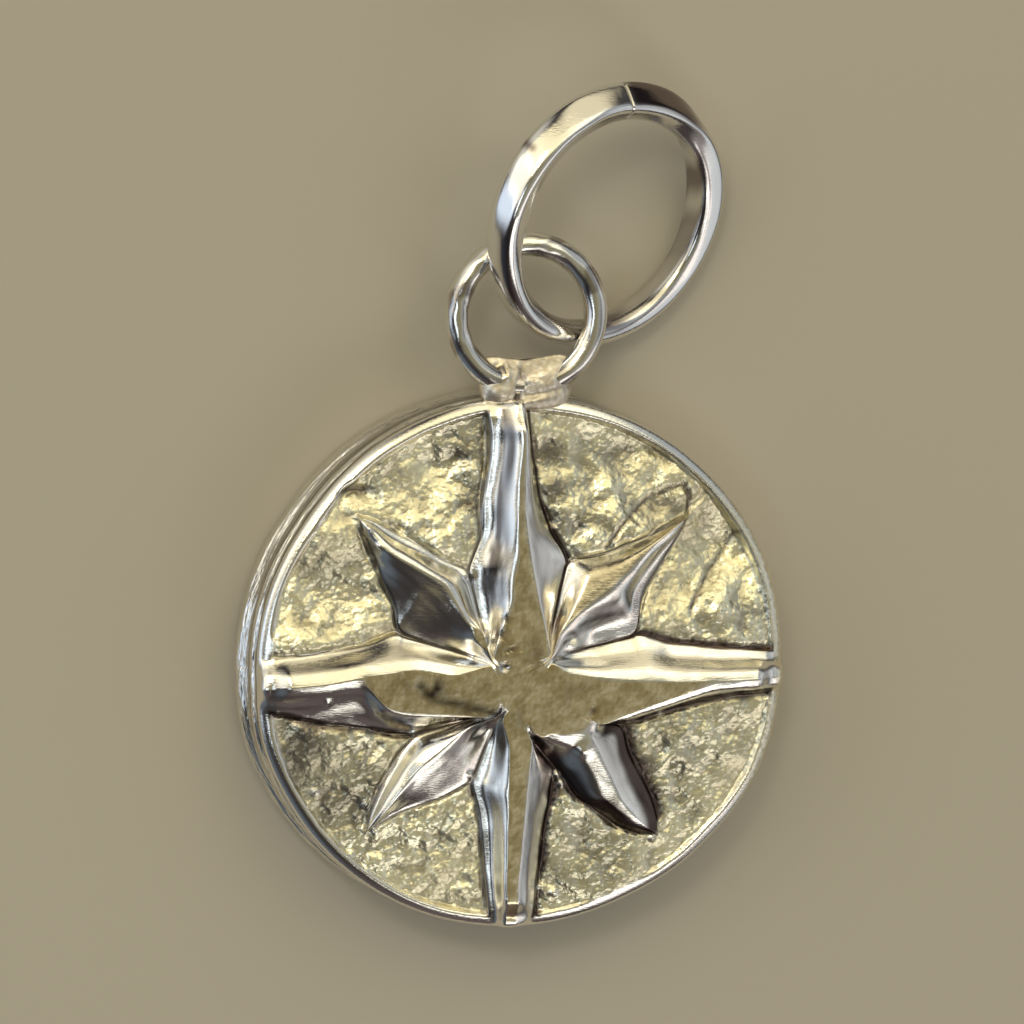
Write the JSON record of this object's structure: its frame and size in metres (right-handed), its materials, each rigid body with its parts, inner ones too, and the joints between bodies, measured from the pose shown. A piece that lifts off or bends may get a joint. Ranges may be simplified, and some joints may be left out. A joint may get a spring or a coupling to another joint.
{
  "type": "star charm",
  "caption": "Round metal charm with a raised compass star, a soldered wire loop at its top and a jump ring that hangs it from a chain.",
  "frame": {"origin": "middle of the disc's flat back, which is the face that the charm lies on", "axes": "+Z out of the star's face, +Y from the disc's middle towards the loop, +X to the right as the star is seen"},
  "size_m": [0.015, 0.0236, 0.0042],
  "materials": {
    "cast_silver": "cast silver, polished on the star, the loop and the rim, and rough and satin between the arms",
    "ring_silver": "polished silver wire with fine tool marks"
  },
  "bodies": {
    "root": {"star_disc": "cast_silver", "jump_ring": "ring_silver"}
  },
  "joints": []
}
